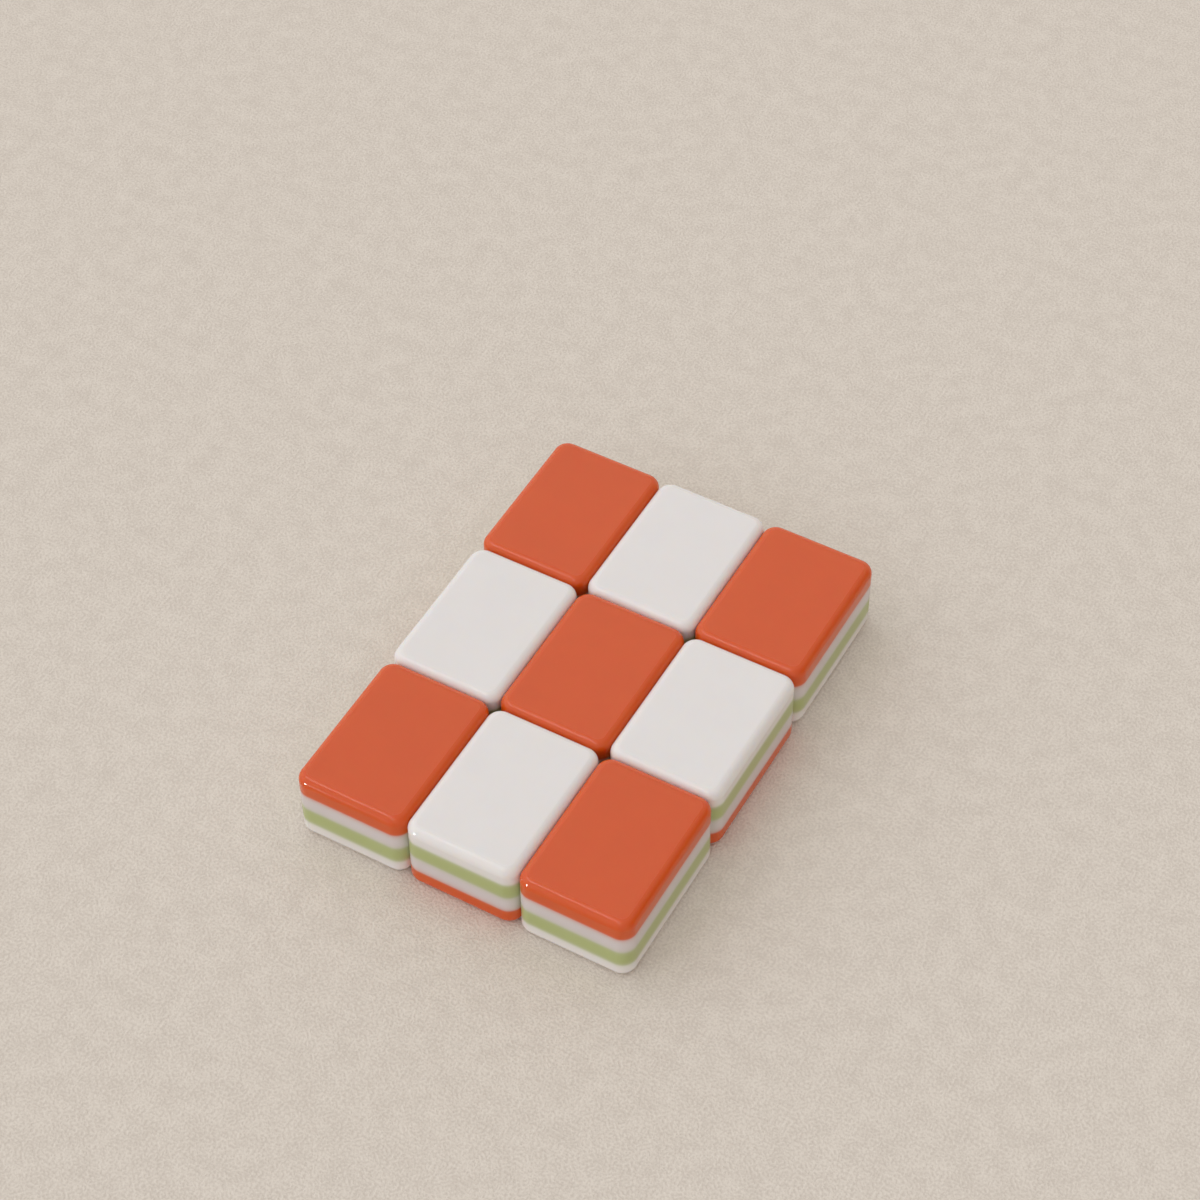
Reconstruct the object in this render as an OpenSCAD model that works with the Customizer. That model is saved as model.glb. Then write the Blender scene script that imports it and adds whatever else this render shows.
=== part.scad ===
// Nine mahjong tiles, laid three by three, with every other tile turned over.
//
// Each tile is cut from a block of four plastic sheets that are bonded face to face: a white
// face, a green layer, a milky layer and an orange back. The cut tile is then tumbled, which
// rounds every edge and corner alike, so one smooth skin runs across the four sheets. The tiles
// are loose, and they are only pushed together.
//
// The origin is under the middle of the block, at the height of its underside. +X runs along
// the short sides of the tiles, +Y along their long sides, and +Z points up.

/* [Tile] */
// Width of a tile, its short side
tile_w = 22; // [14:0.5:34]
// Length of a tile, its long side
tile_l = 31; // [20:0.5:44]
// Radius that every edge and corner of a tile is tumbled to
edge_r = 2; // [0.5:0.1:2.5]

/* [Sheets] */
// Thickness of the white sheet, the face of the tile
face_t = 3.55; // [2.5:0.05:6]
// Thickness of the green sheet
green_t = 3.8; // [0.5:0.05:6]
// Thickness of the milky sheet
milky_t = 3.55; // [0.5:0.05:6]
// Thickness of the orange sheet, the back of the tile
back_t = 4.1; // [2.5:0.05:6]

/* [Block] */
// Air between the sides of neighbouring tiles
side_gap = 0.15; // [0.05:0.05:0.6]

/* [Hidden] */
ROWS = ["near", "middle", "far"];
COLUMNS = ["left", "centre", "right"];
SHEETS = ["white_face", "green_layer", "milky_layer", "orange_back"];
$fn = 96;

// Heights at which the sheets end, in a tile that lies on its face.
face_top = face_t;
green_top = face_top + green_t;
milky_top = green_top + milky_t;
tile_t = milky_top + back_t;

// Half sizes of the flat middle of a tile, which its rounded rim goes round.
flat_x = tile_w / 2 - edge_r;
flat_y = tile_l / 2 - edge_r;

function name_of(row, column, sheet) = str(ROWS[row], "_", COLUMNS[column], "_", sheet);

// Distance from the middle of a line of places to one of them.
function from_middle(place, places, pitch) = (place - (len(places) - 1) / 2) * pitch;

// Section through the rim of a tile between two heights. It runs from the flat middle, at x = 0,
// out to the side of the tile, which a quarter circle joins to the face and to the back.
module rim_section(low, high) {
    intersection() {
        union() {
            translate([0, edge_r])
                square([edge_r, tile_t - 2 * edge_r]);
            for (height = [edge_r, tile_t - edge_r])
                translate([0, height])
                    circle(edge_r);
        }
        translate([0, low])
            square([edge_r, high - low]);
    }
}

// Rim along one straight side. It starts at the origin, runs along +X and faces +Y.
module side_rim(run, low, high) {
    rotate([90, 0, 90])
        linear_extrude(run)
            rim_section(low, high);
}

// Rim round one upright corner, which faces +X and +Y.
module corner_rim(low, high) {
    rotate_extrude(angle = 90)
        rim_section(low, high);
}

// What one sheet keeps of the rounded tile: the part of it between two heights.
module sheet_of_tile(low, high) {
    translate([-flat_x, -flat_y, low])
        cube([2 * flat_x, 2 * flat_y, high - low]);
    for (end = [0, 1])
        mirror([0, end, 0])
            translate([-flat_x, flat_y, 0])
                side_rim(2 * flat_x, low, high);
    for (side = [0, 1])
        mirror([side, 0, 0])
            translate([flat_x, flat_y, 0])
                rotate([0, 0, -90])
                    side_rim(2 * flat_y, low, high);
    for (side = [0, 1], end = [0, 1])
        mirror([side, 0, 0])
            mirror([0, end, 0])
                translate([flat_x, flat_y, 0])
                    corner_rim(low, high);
}

module white_face() {
    color("#EBE7E1")
        sheet_of_tile(0, face_top);
}

module green_layer() {
    color("#A8AD76")
        sheet_of_tile(face_top, green_top);
}

module milky_layer() {
    color("#CFC6C1")
        sheet_of_tile(green_top, milky_top);
}

module orange_back() {
    color("#D9602F")
        sheet_of_tile(milky_top, tile_t);
}

// Puts a tile at its place in the block. Tiles alternate like the squares of a chessboard: the
// four in the corners and the one in the middle lie on their faces, the others on their backs.
module placed(row, column) {
    turned_over = (row + column) % 2;
    translate([
        from_middle(column, COLUMNS, tile_w + side_gap),
        from_middle(row, ROWS, tile_l + side_gap),
        turned_over * tile_t
    ])
        rotate([0, turned_over * 180, 0])
            children();
}

for (row = [0 : len(ROWS) - 1], column = [0 : len(COLUMNS) - 1]) {
    placed(row, column) white_face();
    placed(row, column) green_layer();
    placed(row, column) milky_layer();
    placed(row, column) orange_back();
}
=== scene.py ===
import math

import bpy
import numpy as np
from mathutils import Matrix, Vector


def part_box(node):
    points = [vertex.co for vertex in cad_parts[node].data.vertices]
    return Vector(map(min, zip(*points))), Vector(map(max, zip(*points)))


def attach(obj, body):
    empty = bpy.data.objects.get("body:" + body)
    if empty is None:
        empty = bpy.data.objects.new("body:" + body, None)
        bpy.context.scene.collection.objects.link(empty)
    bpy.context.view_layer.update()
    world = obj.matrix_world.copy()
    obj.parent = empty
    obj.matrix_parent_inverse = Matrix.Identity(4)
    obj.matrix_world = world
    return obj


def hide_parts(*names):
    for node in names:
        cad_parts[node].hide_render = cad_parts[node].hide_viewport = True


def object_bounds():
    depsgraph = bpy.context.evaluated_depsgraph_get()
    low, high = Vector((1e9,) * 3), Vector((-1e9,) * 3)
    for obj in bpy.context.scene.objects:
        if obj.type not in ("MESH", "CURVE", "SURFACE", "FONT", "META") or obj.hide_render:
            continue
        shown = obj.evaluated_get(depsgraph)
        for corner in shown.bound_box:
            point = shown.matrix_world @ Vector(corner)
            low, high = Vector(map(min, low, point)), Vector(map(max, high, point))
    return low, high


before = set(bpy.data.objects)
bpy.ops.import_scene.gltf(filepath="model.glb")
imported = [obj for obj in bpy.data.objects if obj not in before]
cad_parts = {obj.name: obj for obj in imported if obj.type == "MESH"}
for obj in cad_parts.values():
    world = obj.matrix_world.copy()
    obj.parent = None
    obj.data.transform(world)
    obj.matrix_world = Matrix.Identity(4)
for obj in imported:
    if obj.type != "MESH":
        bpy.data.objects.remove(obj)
cad_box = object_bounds()

# ---- White faces -------------------------------------------------------------------------------
# The face of each tile is a sheet of dense white plastic, bonded to the green sheet behind it.
# The block is cut into tiles first and tumbled in grit and then in polish, so one rounded skin
# runs across all four sheets. Its edges shine, and its flats keep a faint haze and a few specks.
TILE_ROWS = ("near", "middle", "far")
TILE_COLUMNS = ("left", "centre", "right")
TILE_THICKNESS = cad_box[1][2]
CORNER_RADIUS = 0.0028
EDGE_RADIUS = 0.0018
CORNER_STEPS = 12
EDGE_STEPS = 14
SAME_HEIGHT = 2e-5
CAP_RINGS = (0.25, 0.5, 0.75)
FLAT_MARGIN = 0.00006
SIDE_TOUCH = 0.00007
POLISH_TURN = math.radians(30)

WHITE = (0.835, 0.800, 0.784)
WHITE_CLOUD = (0.826, 0.791, 0.775)
WHITE_SPECK = (0.330, 0.290, 0.250)
WHITE_GLOW_DEPTH = (0.0006, 0.0005, 0.0004)
WHITE_BLUR = 0.00035
GREEN = (0.460, 0.514, 0.220)

PLASTIC_IOR = 1.46
GLOW_SHARE = 0.9
BOND_DIM = 0.00045
BOND_SHARE = 0.5
# Pale film on the level flats: partly dust, partly a painted sheen for the bright room's
# reflection.
DUST_AND_SHEEN = (0.850, 0.840, 0.830)
DUST_AND_SHEEN_SHARE = 0.016
FLAT_HAZE = 0.36
EDGE_SHINE = 0.12
CLOUD_SIZE = 0.006
CLOUD_RANGE = (0.30, 0.70)
SMEAR_SIZE = 0.0022
SMEAR_HAZE = 0.04
SCRATCH_BEARINGS = (0.35, 1.42, 2.55)
SCRATCH_LEAN = 0.4
SCRATCH_TILT = 0.3
SCRATCH_WIDTH = 0.00012
SCRATCH_LENGTH = 34.0
SCRATCH_RANGE = (0.735, 0.80)
SCRATCH_HAZE = 0.12
SPECK_SPACING = 0.0085
SPECK_SIZE = 0.00032
SPECK_EDGE = (0.3, 0.6)
SPECK_RARITY = 0.80
SPECK_SHARE = 0.5
SWELL_SIZE = 0.0045
PITTING_SIZE = 0.00035
PITTING_HEIGHT = 0.02
SCRATCH_HEIGHT = -0.03
SPECK_HEIGHT = -0.10
SKIN_STRENGTH = 0.10
SKIN_RELIEF = 0.00003


def worked(tree, operation, first, second=None, third=None):
    """One sum of a finish: first, second and third are sockets or plain numbers."""
    node = tree.nodes.new("ShaderNodeMath")
    node.operation = operation
    for place, value in enumerate((first, second, third)):
        if isinstance(value, (int, float)):
            node.inputs[place].default_value = value
        elif value is not None:
            tree.links.new(value, node.inputs[place])
    return node.outputs[0]


def grain(tree, where, size, detail=2.0, turn=(0.0, 0.0, 0.0), stretch=(1.0, 1.0, 1.0)):
    """Noise whose lumps are about size metres across, turned and drawn out along its own axes."""
    mapping = tree.nodes.new("ShaderNodeMapping")
    mapping.inputs["Rotation"].default_value = turn
    mapping.inputs["Scale"].default_value = [1.0 / (size * along) for along in stretch]
    tree.links.new(where, mapping.inputs["Vector"])
    noise = tree.nodes.new("ShaderNodeTexNoise")
    noise.inputs["Scale"].default_value = 1.0
    noise.inputs["Detail"].default_value = detail
    tree.links.new(mapping.outputs["Vector"], noise.inputs["Vector"])
    return noise.outputs["Fac"]


def ramped(tree, value, low, high, out_low=0.0, out_high=1.0):
    """Value from low to high, carried over to out_low to out_high and held beyond them."""
    node = tree.nodes.new("ShaderNodeMapRange")
    node.interpolation_type = "SMOOTHSTEP"
    node.inputs["From Min"].default_value = low
    node.inputs["From Max"].default_value = high
    node.inputs["To Min"].default_value = out_low
    node.inputs["To Max"].default_value = out_high
    tree.links.new(value, node.inputs["Value"])
    return node.outputs["Result"]


def mixed(tree, share, first, second):
    """First colour turning into the second as share goes from 0 to 1."""
    node = tree.nodes.new("ShaderNodeMix")
    node.data_type = "RGBA"
    tree.links.new(share, node.inputs["Factor"])
    for socket, colour in ((node.inputs["A"], first), (node.inputs["B"], second)):
        if isinstance(colour, tuple):
            socket.default_value = (*colour, 1.0)
        else:
            tree.links.new(colour, socket)
    return node.outputs["Result"]


def point_value(tree, kind):
    """Number that each point of a sheet keeps under the name kind."""
    node = tree.nodes.new("ShaderNodeAttribute")
    node.attribute_name = kind
    return node.outputs["Fac"]


def near_bond(tree, away, reach):
    """Share that falls off with the distance away from a bond: exp(-away / reach)."""
    return worked(tree, "EXPONENT", worked(tree, "MULTIPLY", away, -1.0 / reach))


def relief(tree, shader, height, strength, distance):
    """Dents and swells of the skin, from height times distance in metres."""
    bump = tree.nodes.new("ShaderNodeBump")
    bump.inputs["Strength"].default_value = strength
    bump.inputs["Distance"].default_value = distance
    tree.links.new(height, bump.inputs["Height"])
    tree.links.new(bump.outputs["Normal"], shader.inputs["Normal"])


def scratches(tree, where):
    """Short fine scratches in three directions, as shares from 0 to 1."""
    found = None
    for bearing in SCRATCH_BEARINGS:
        streak = grain(
            tree, where, SCRATCH_WIDTH, detail=1.0,
            turn=(SCRATCH_LEAN * bearing, SCRATCH_TILT, bearing),
            stretch=(1.0, SCRATCH_LENGTH, SCRATCH_LENGTH))
        line = ramped(tree, streak, *SCRATCH_RANGE)
        found = line if found is None else worked(tree, "MAXIMUM", found, line)
    return found


def specks(tree, where, spacing, size):
    """Sparse round specks of about size metres, one in every few cells of spacing metres."""
    cells = tree.nodes.new("ShaderNodeTexVoronoi")
    cells.inputs["Scale"].default_value = 1.0 / spacing
    tree.links.new(where, cells.inputs["Vector"])
    inner, outer = (edge * size / spacing for edge in SPECK_EDGE)
    near = ramped(tree, cells.outputs["Distance"], inner, outer, 1.0, 0.0)
    pick = tree.nodes.new("ShaderNodeSeparateColor")
    tree.links.new(cells.outputs["Color"], pick.inputs[0])
    chosen = worked(tree, "GREATER_THAN", pick.outputs[0], SPECK_RARITY)
    return worked(tree, "MULTIPLY", near, chosen)


def tumbled_plastic(name, colour, cloud, speck, glow_depth, blur, bonded):
    """Solid coloured plastic with a tumbled skin. Colour drifts to cloud in soft lumps, speck
    colours the odd speck, and light goes into it to about glow_depth. At a bond it takes on half
    of the colour bonded to it there, a painted glow for light that crosses the bond, and that
    falls off over blur metres. The level flats keep some haze and a thin pale film, partly dust
    and partly a painted sheen that stands in for the reflection of the bright room. The sides
    and edges shine."""
    material = bpy.data.materials.new(name)
    material.use_nodes = True
    tree = material.node_tree
    shader = tree.nodes["Principled BSDF"]
    where = tree.nodes.new("ShaderNodeTexCoord").outputs["Object"]

    drift = ramped(tree, grain(tree, where, CLOUD_SIZE, detail=3.0), *CLOUD_RANGE)
    base = mixed(tree, drift, colour, cloud)
    dots = specks(tree, where, SPECK_SPACING, SPECK_SIZE)
    base = mixed(tree, worked(tree, "MULTIPLY", dots, SPECK_SHARE), base, speck)
    glow = GLOW_SHARE
    # Painted glow: near each bond the base colour takes on part of the neighbour's colour,
    # standing in for light that crosses the bond.
    for bond, neighbour in bonded.items():
        away = point_value(tree, bond)
        crossed = worked(tree, "MULTIPLY", near_bond(tree, away, blur), BOND_SHARE)
        base = mixed(tree, crossed, base, neighbour)
        kept = worked(tree, "SUBTRACT", 1.0, near_bond(tree, away, BOND_DIM))
        glow = worked(tree, "MULTIPLY", kept, glow)
    polished = point_value(tree, "polished")
    # Painted sheen: the level flats are mixed slightly towards a pale colour, partly a dust film
    # and partly standing in for the reflection of the bright room.
    dust_and_sheen = worked(tree, "MULTIPLY_ADD", polished, -DUST_AND_SHEEN_SHARE, DUST_AND_SHEEN_SHARE)
    tree.links.new(mixed(tree, dust_and_sheen, base, DUST_AND_SHEEN), shader.inputs["Base Color"])
    tree.links.new(glow, shader.inputs["Subsurface Weight"])

    scratch = scratches(tree, where)
    polish = worked(tree, "MULTIPLY_ADD", polished, EDGE_SHINE - FLAT_HAZE, FLAT_HAZE)
    smears = grain(tree, where, SMEAR_SIZE, detail=3.0)
    smeared = worked(tree, "MULTIPLY_ADD", smears, SMEAR_HAZE, -SMEAR_HAZE / 2)
    rough = worked(tree, "ADD", polish, smeared)
    rough = worked(tree, "MULTIPLY_ADD", scratch, SCRATCH_HAZE, rough)
    tree.links.new(rough, shader.inputs["Roughness"])

    swell = grain(tree, where, SWELL_SIZE, detail=1.0)
    height = worked(tree, "MULTIPLY_ADD", grain(tree, where, PITTING_SIZE), PITTING_HEIGHT, swell)
    height = worked(tree, "MULTIPLY_ADD", scratch, SCRATCH_HEIGHT, height)
    height = worked(tree, "MULTIPLY_ADD", dots, SPECK_HEIGHT, height)
    relief(tree, shader, height, SKIN_STRENGTH, SKIN_RELIEF)

    shader.inputs["IOR"].default_value = PLASTIC_IOR
    shader.inputs["Subsurface Scale"].default_value = 1.0
    shader.inputs["Subsurface Radius"].default_value = glow_depth
    return material


def tumbled_rim(low, high):
    """Profile of one sheet of a tile from its underside up, as rows of inset, height and turn.

    The inset is how far the skin lies in from the upright side: none along it, and along the
    quarter circles at both ends the edge radius less its cosine. The turn is the angle of the
    skin out of level, from a quarter turn downwards to a quarter turn upwards."""
    bend = np.linspace(0.0, math.pi / 2, EDGE_STEPS + 1)
    curve = EDGE_RADIUS * np.sin(bend)
    height = np.unique(np.concatenate([
        EDGE_RADIUS - curve, TILE_THICKNESS - EDGE_RADIUS + curve]).round(7))
    between = (height > low + SAME_HEIGHT) & (height < high - SAME_HEIGHT)
    height = np.concatenate([[low], height[between], [high]])
    into_edge = (np.maximum(height - TILE_THICKNESS + EDGE_RADIUS, 0.0)
                 - np.maximum(EDGE_RADIUS - height, 0.0)).clip(-EDGE_RADIUS, EDGE_RADIUS)
    turn = np.arcsin(into_edge / EDGE_RADIUS)
    return EDGE_RADIUS * (1.0 - np.cos(turn)), height, turn


def sheet_surface(name, middle, size, low, high, face_bond, back_bond):
    """Closed skin of one sheet of a tile, as a grid of rings.

    A ring is a rectangle with round corners: a point of the core rectangle plus the corner radius
    less the inset, along the outward normal there. The profile gives each ring its inset, height
    and turn. The two flat ends go on with the same ring drawn in to nothing round the middle. The
    skin's normal is the cosine of the turn outwards and its sine upwards, so shine runs smoothly
    along it. Each point also keeps how polished it is, and how far it is, up or down, from the
    bonds on the face side and back side."""
    inset, height, turn = tumbled_rim(low, high)
    arc = np.linspace(0.0, math.pi / 2, CORNER_STEPS + 1)
    bearing = (np.arange(4)[:, None] * math.pi / 2 + arc[None, :]).ravel()
    normal = np.stack([np.cos(bearing), np.sin(bearing)], axis=-1)
    quarter = np.repeat(np.arange(4), CORNER_STEPS + 1)
    sides = np.stack([np.where(np.isin(quarter, (0, 3)), 1.0, -1.0),
                      np.where(np.isin(quarter, (0, 1)), 1.0, -1.0)], axis=-1)
    core = sides * (np.array(size) / 2 + SIDE_TOUCH - CORNER_RADIUS)

    ends = np.append(CAP_RINGS, 1.0)
    flat = np.zeros(len(ends))
    draw = np.concatenate([ends, np.ones(len(inset)), ends[::-1]])
    reach = CORNER_RADIUS - np.concatenate(
        [flat + inset[0] + FLAT_MARGIN, inset, flat + inset[-1] + FLAT_MARGIN])
    plan = draw[:, None, None] * (core[None] + reach[:, None, None] * normal[None])
    rings, around = plan.shape[:2]
    points = np.empty((rings, around, 3))
    points[..., :2] = plan + np.array(middle)
    points[..., 2] = np.concatenate([flat + low, height, flat + high])[:, None]
    points = np.concatenate([points.reshape(-1, 3), [[*middle, low], [*middle, high]]])

    skin_normals = np.empty((rings, around, 3))
    skin_normals[..., :2] = np.concatenate([flat, np.cos(turn), flat])[:, None, None] * normal
    skin_normals[..., 2] = np.concatenate([flat - 1.0, np.sin(turn), flat + 1.0])[:, None]
    skin_normals = np.concatenate([
        skin_normals.reshape(-1, 3), [[0.0, 0.0, -1.0], [0.0, 0.0, 1.0]]])

    polished = ((math.pi / 2 - np.abs(turn)) / POLISH_TURN).clip(0.0, 1.0)
    polished = np.repeat(np.concatenate([flat, polished, flat]), around)
    kept = {"polished": np.append(polished, [0.0, 0.0]),
            "face_bond": np.abs(points[:, 2] - face_bond),
            "back_bond": np.abs(points[:, 2] - back_bond)}

    here = np.arange(around)
    after = (here + 1) % around
    row = (np.arange(rings - 1) * around)[:, None]
    quads = np.stack(
        [row + here, row + after, row + around + after, row + around + here], axis=-1)
    last = (rings - 1) * around
    under = np.stack([after, here, np.full(around, rings * around)], axis=-1)
    over = np.stack([last + here, last + after, np.full(around, rings * around + 1)], axis=-1)
    faces = quads.reshape(-1, 4).tolist() + under.tolist() + over.tolist()

    mesh = bpy.data.meshes.new(name)
    mesh.from_pydata(points.tolist(), [], faces)
    mesh.polygons.foreach_set("use_smooth", np.ones(len(faces), dtype=bool))
    for kind, values in kept.items():
        mesh.attributes.new(kind, "FLOAT", "POINT").data.foreach_set("value", values)
    mesh.update()
    mesh.normals_split_custom_set_from_vertices(skin_normals.tolist())
    sheet = bpy.data.objects.new(name, mesh)
    bpy.context.scene.collection.objects.link(sheet)
    return sheet


def laid_sheets(node_ending, piece_ending, material):
    """One sheet of all nine tiles, each where its solid lies, in the given material.

    The solid gives the sheet its size, middle and heights. A tile lies on its face where its row
    and column add up to an even number, and on its back elsewhere."""
    for row, row_name in enumerate(TILE_ROWS):
        for column, column_name in enumerate(TILE_COLUMNS):
            tile = f"{row_name}_{column_name}"
            low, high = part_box(f"{tile}_{node_ending}")
            middle = ((low.x + high.x) / 2, (low.y + high.y) / 2)
            size = (high.x - low.x, high.y - low.y)
            on_face = (row + column) % 2 == 0
            bonds = (low.z, high.z) if on_face else (high.z, low.z)
            sheet = sheet_surface(f"{tile}_{piece_ending}", middle, size, low.z, high.z, *bonds)
            sheet.data.materials.append(material)
            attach(sheet, f"{tile}_tile")
            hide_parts(f"{tile}_{node_ending}")


laid_sheets("white_face", "white_sheet", tumbled_plastic(
    "dense_white_plastic", WHITE, WHITE_CLOUD, WHITE_SPECK, WHITE_GLOW_DEPTH, WHITE_BLUR,
    {"back_bond": GREEN}))

# ---- Green layers ------------------------------------------------------------------------------
# Between the white face and the milky sheet runs a soft green sheet of the same plastic, bonded
# to both. Only its edge shows, as a band round the tile.
GREEN_CLOUD = (0.448, 0.501, 0.212)
GREEN_SPECK = (0.200, 0.220, 0.080)
GREEN_GLOW_DEPTH = (0.0005, 0.0005, 0.0003)
GREEN_BLUR = 0.00035
MILKY = (0.715, 0.655, 0.660)
laid_sheets("green_layer", "green_sheet", tumbled_plastic(
    "soft_green_plastic", GREEN, GREEN_CLOUD, GREEN_SPECK, GREEN_GLOW_DEPTH, GREEN_BLUR,
    {"face_bond": WHITE, "back_bond": MILKY}))

# ---- Milky layers ------------------------------------------------------------------------------
# Between the green and the orange lies a milky sheet. It holds less white pigment than the face,
# so light goes deeper into it and it looks greyer and cooler.
MILKY_CLOUD = (0.698, 0.640, 0.645)
MILKY_SPECK = (0.300, 0.270, 0.250)
MILKY_GLOW_DEPTH = (0.0011, 0.0010, 0.0009)
MILKY_BLUR = 0.00045
ORANGE = (0.710, 0.104, 0.010)
laid_sheets("milky_layer", "milky_sheet", tumbled_plastic(
    "milky_white_plastic", MILKY, MILKY_CLOUD, MILKY_SPECK, MILKY_GLOW_DEPTH, MILKY_BLUR,
    {"face_bond": GREEN, "back_bond": ORANGE}))

# ---- Orange backs ------------------------------------------------------------------------------
# The back is a sheet of burnt orange plastic, bonded to the milky sheet. It is the thickest of
# the four. Red light goes deeper into it than green and blue, so its edges look a little redder.
ORANGE_CLOUD = (0.695, 0.101, 0.010)
ORANGE_SPECK = (0.300, 0.045, 0.015)
ORANGE_GLOW_DEPTH = (0.0010, 0.0005, 0.0002)
ORANGE_BLUR = 0.00016
laid_sheets("orange_back", "orange_sheet", tumbled_plastic(
    "burnt_orange_plastic", ORANGE, ORANGE_CLOUD, ORANGE_SPECK, ORANGE_GLOW_DEPTH, ORANGE_BLUR,
    {"face_bond": MILKY}))

# ---- Table -------------------------------------------------------------------------------------
# The tiles lie on a pale sand-coloured board with a soft suede-like coat. Its nap has a grain of
# about half a millimetre, in faintly darker and lighter patches of a few millimetres.
TABLE_HALF = 1.6
TABLE_STEPS = 33
SAND = (0.804, 0.728, 0.644)
SAND_SHADE = (0.690, 0.615, 0.540)
SAND_RANGE = (0.37, 0.63)
NAP_SIZE = 0.0005
NAP_RANGE = (0.3, 0.7)
NAP_ROUGHNESS = (0.80, 0.92)
NAP_STRENGTH = 0.42
NAP_RELIEF = 0.0009
NAP_SPECULAR = 0.2
PATCH_SIZE = 0.004
PATCH_SHARE = 0.22


def level_sheet(name, half, steps):
    """Flat square grid: x and y each run from -half to half in equal steps, and z is zero."""
    line = np.linspace(-half, half, steps)
    x, y = np.meshgrid(line, line, indexing="xy")
    points = np.stack([x, y, np.zeros_like(x)], axis=-1).reshape(-1, 3)
    start = (np.arange(steps - 1)[:, None] * steps + np.arange(steps - 1)[None, :]).ravel()
    corners = np.stack([start, start + 1, start + steps + 1, start + steps], axis=-1)
    mesh = bpy.data.meshes.new(name)
    mesh.from_pydata(points.tolist(), [], corners.tolist())
    mesh.update()
    sheet = bpy.data.objects.new(name, mesh)
    bpy.context.scene.collection.objects.link(sheet)
    return sheet


table = level_sheet("table", TABLE_HALF, TABLE_STEPS)
suede = bpy.data.materials.new("sand_suede_board")
suede.use_nodes = True
suede_tree = suede.node_tree
suede_shader = suede_tree.nodes["Principled BSDF"]
suede_where = suede_tree.nodes.new("ShaderNodeTexCoord").outputs["Object"]
nap = grain(suede_tree, suede_where, NAP_SIZE, detail=4.0)
patches = grain(suede_tree, suede_where, PATCH_SIZE, detail=1.0)
nap_part = worked(suede_tree, "MULTIPLY", nap, 1.0 - PATCH_SHARE)
sand_mix = worked(suede_tree, "MULTIPLY_ADD", patches, PATCH_SHARE, nap_part)
suede_tree.links.new(
    mixed(suede_tree, ramped(suede_tree, sand_mix, *SAND_RANGE), SAND_SHADE, SAND),
    suede_shader.inputs["Base Color"])
suede_tree.links.new(
    ramped(suede_tree, nap, *NAP_RANGE, *NAP_ROUGHNESS), suede_shader.inputs["Roughness"])
relief(suede_tree, suede_shader, nap, NAP_STRENGTH, NAP_RELIEF)
suede_shader.inputs["Specular IOR Level"].default_value = NAP_SPECULAR
table.data.materials.append(suede)

# ---- Light -------------------------------------------------------------------------------------
# The tiles stand in an evenly lit white room, with soft daylight from the left and a dim brown
# wall on the right. A strip lamp draws the thin shine along the near edges and a small lamp the
# sparkle on their left corners. Both lamps are seen only as shine and add no light to a colour.
ROOM_TINT = (1.0, 0.998, 0.994)
ROOM_LEVEL = 0.80
DAYLIGHT_TINT = (0.980, 0.995, 1.020)
DAYLIGHT_LEVEL = 0.48
DAYLIGHT_SIDE = (-160, 36)
DAYLIGHT_TIGHTNESS = 3.0
WALL_COLOUR = (0.21, 0.11, 0.01)
WALL_SIDE = (18, 5)
WALL_TIGHTNESS = 4.3


def direction(azimuth, elevation):
    """Unit vector at that bearing, counted from +X towards +Y, and that height, in degrees."""
    azimuth, elevation = math.radians(azimuth), math.radians(elevation)
    return Vector((
        math.cos(azimuth) * math.cos(elevation),
        math.sin(azimuth) * math.cos(elevation),
        math.sin(elevation)))


def lit_part(tree, where, middle, tightness):
    """Share of the room round the direction middle: exp(tightness (cos(angle to it) - 1))."""
    towards = tree.nodes.new("ShaderNodeVectorMath")
    towards.operation = "DOT_PRODUCT"
    towards.inputs[1].default_value = middle
    tree.links.new(where, towards.inputs[0])
    off_middle = worked(tree, "SUBTRACT", towards.outputs["Value"], 1.0)
    return worked(tree, "EXPONENT", worked(tree, "MULTIPLY", off_middle, tightness))


room = bpy.data.worlds.new("white_room")
bpy.context.scene.world = room
room.use_nodes = True
room_tree = room.node_tree
sky = room_tree.nodes.new("ShaderNodeTexCoord").outputs["Generated"]
daylight = lit_part(room_tree, sky, direction(*DAYLIGHT_SIDE), DAYLIGHT_TIGHTNESS)
wall = lit_part(room_tree, sky, direction(*WALL_SIDE), WALL_TIGHTNESS)
sum_of_light = room_tree.nodes.new("ShaderNodeCombineXYZ")
for place in range(3):
    room_light = ROOM_LEVEL * ROOM_TINT[place]
    level = worked(
        room_tree, "MULTIPLY_ADD", daylight, DAYLIGHT_LEVEL * DAYLIGHT_TINT[place], room_light)
    level = worked(room_tree, "MULTIPLY_ADD", wall, WALL_COLOUR[place] - room_light, level)
    room_tree.links.new(level, sum_of_light.inputs[place])
room_tree.links.new(sum_of_light.outputs[0], room_tree.nodes["Background"].inputs["Color"])


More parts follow.
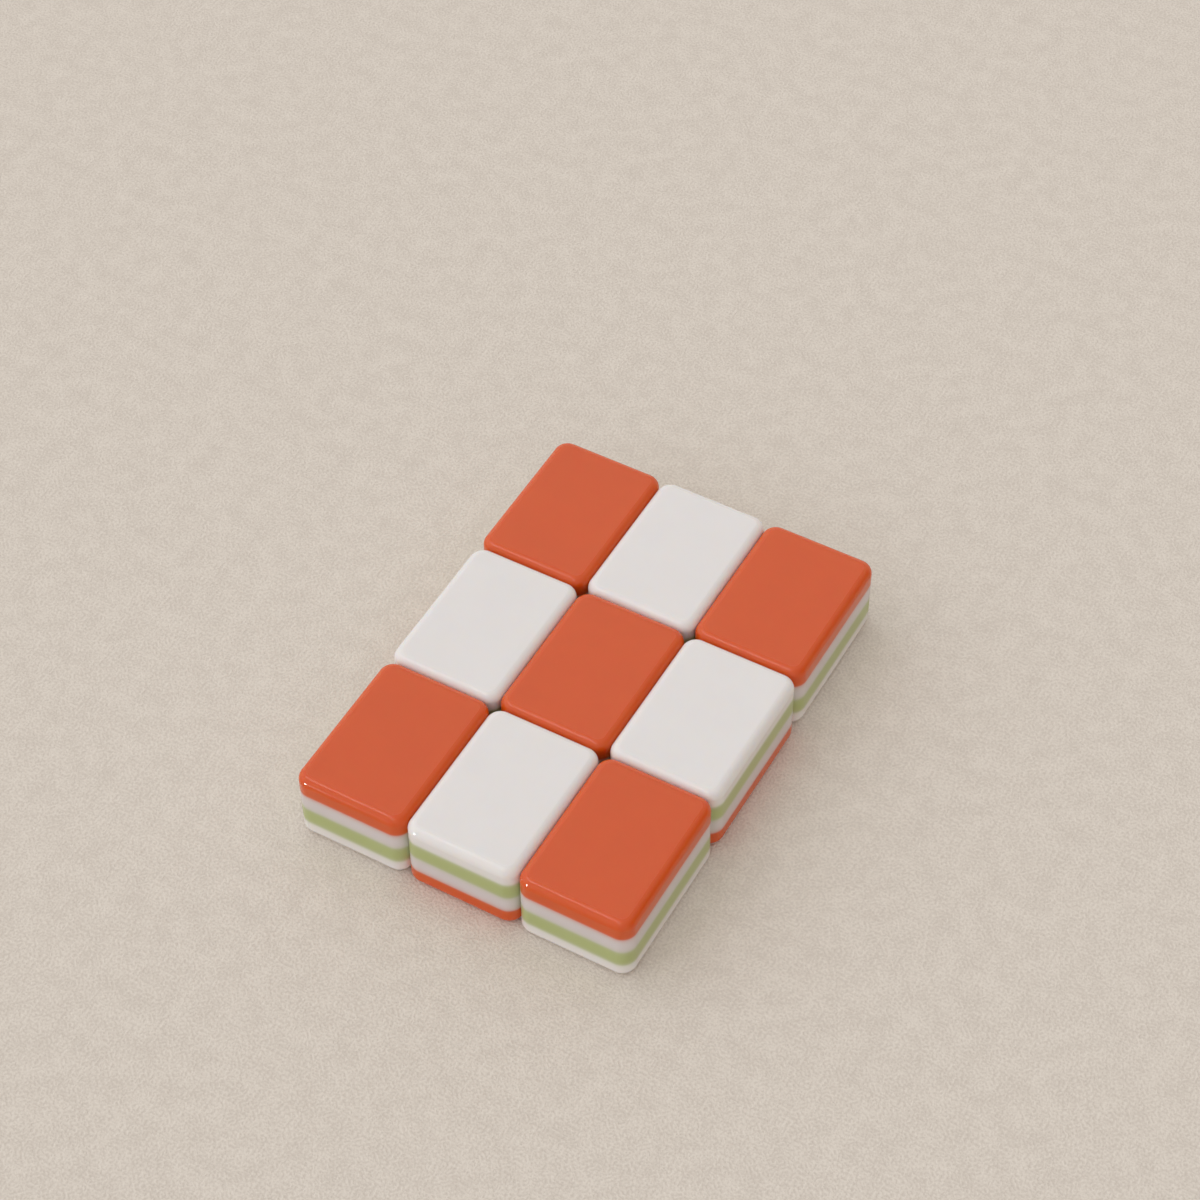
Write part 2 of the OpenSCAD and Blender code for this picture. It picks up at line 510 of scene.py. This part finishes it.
def softbox(name, towards, distance, width, height, power):
    """Lamp of width by height metres that faces the block from the direction towards, and is
    seen only as shine."""
    light = bpy.data.lights.new(name, "AREA")
    light.shape = "RECTANGLE"
    light.size = width
    light.size_y = height
    light.energy = power
    lamp = bpy.data.objects.new(name, light)
    lamp.visible_diffuse = False
    lamp.visible_camera = False
    turned = towards.to_track_quat("Z", "Y").to_matrix().to_4x4()
    lamp.matrix_world = Matrix.Translation(towards * distance) @ turned
    bpy.context.scene.collection.objects.link(lamp)


softbox("strip_lamp", direction(-130, 60), distance=1.3, width=1.50, height=0.20, power=2.6)
softbox("small_lamp", direction(-121, 5), distance=1.3, width=0.17, height=0.14, power=9.0)
bpy.context.scene.view_settings.view_transform = "Standard"

# ---- Camera ------------------------------------------------------------------------------------
# The photograph is taken with a long lens from the near right, looking down at 49 degrees.
CAMERA_AZIMUTH = 0.5225
CAMERA_ELEVATION = 0.8544
CAMERA_ROLL = -0.0116
CAMERA_DISTANCE = 0.57033
CAMERA_AIM = Vector((-0.01309, 0.02547, 0.0))
CAMERA_LENS = 91.40
CAMERA_SENSOR = 36.0
CAMERA_NEAREST = 0.01

back = Vector((
    math.sin(CAMERA_AZIMUTH) * math.cos(CAMERA_ELEVATION),
    -math.cos(CAMERA_AZIMUTH) * math.cos(CAMERA_ELEVATION),
    math.sin(CAMERA_ELEVATION)))
level_right = Vector((0.0, 0.0, 1.0)).cross(back).normalized()
level_up = back.cross(level_right)
right = level_right * math.cos(CAMERA_ROLL) + level_up * math.sin(CAMERA_ROLL)
up = level_up * math.cos(CAMERA_ROLL) - level_right * math.sin(CAMERA_ROLL)
camera_data = bpy.data.cameras.new("photo_camera")
camera_data.sensor_fit = "HORIZONTAL"
camera_data.sensor_width = CAMERA_SENSOR
camera_data.lens = CAMERA_LENS
camera_data.clip_start = CAMERA_NEAREST
camera = bpy.data.objects.new("photo_camera", camera_data)
facing = Matrix((right, up, back)).transposed().to_4x4()
camera.matrix_world = Matrix.Translation(CAMERA_AIM + back * CAMERA_DISTANCE) @ facing
bpy.context.scene.collection.objects.link(camera)
bpy.context.scene.camera = camera
